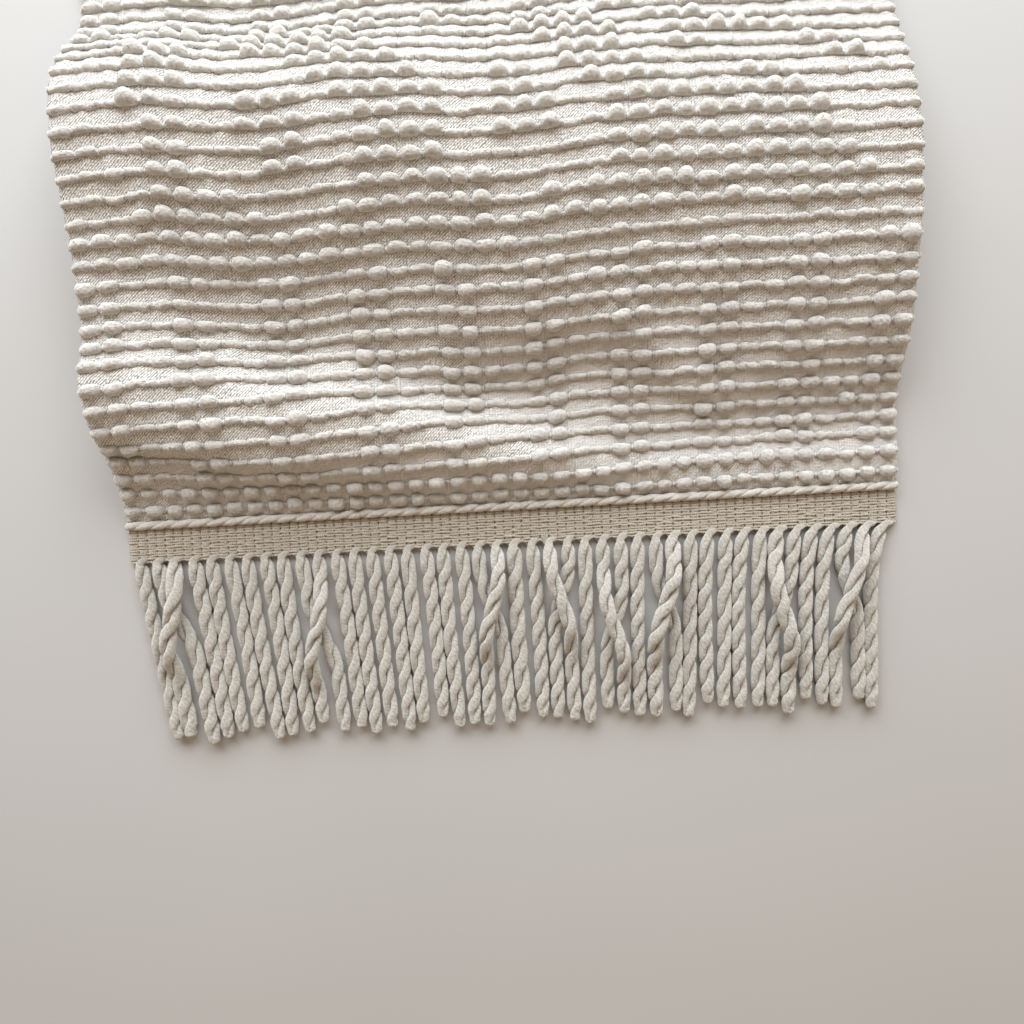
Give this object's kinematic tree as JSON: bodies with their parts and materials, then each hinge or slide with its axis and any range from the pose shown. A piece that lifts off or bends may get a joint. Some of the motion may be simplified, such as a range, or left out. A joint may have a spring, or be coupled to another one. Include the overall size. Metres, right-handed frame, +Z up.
{
  "type": "candlewick bedspread cut length with bullion fringe",
  "caption": "Cut length of a cream cotton candlewick bedspread, ribbed with rows of soft wick and edged with a twisted bullion fringe, lying in soft folds.",
  "frame": {"origin": "middle of the footprint, on the surface that the cloth lies on", "axes": "+X along the hem, +Y from the fringe tips towards the cut back edge, +Z up"},
  "size_m": [0.258, 0.2856, 0.0293],
  "materials": {
    "wick_cloth": "matt napped cotton",
    "fringe_cotton": "matt twisted cotton yarn"
  },
  "bodies": {
    "root": {"bedspread_cloth": "wick_cloth", "bullion_fringe": "fringe_cotton"}
  },
  "joints": []
}
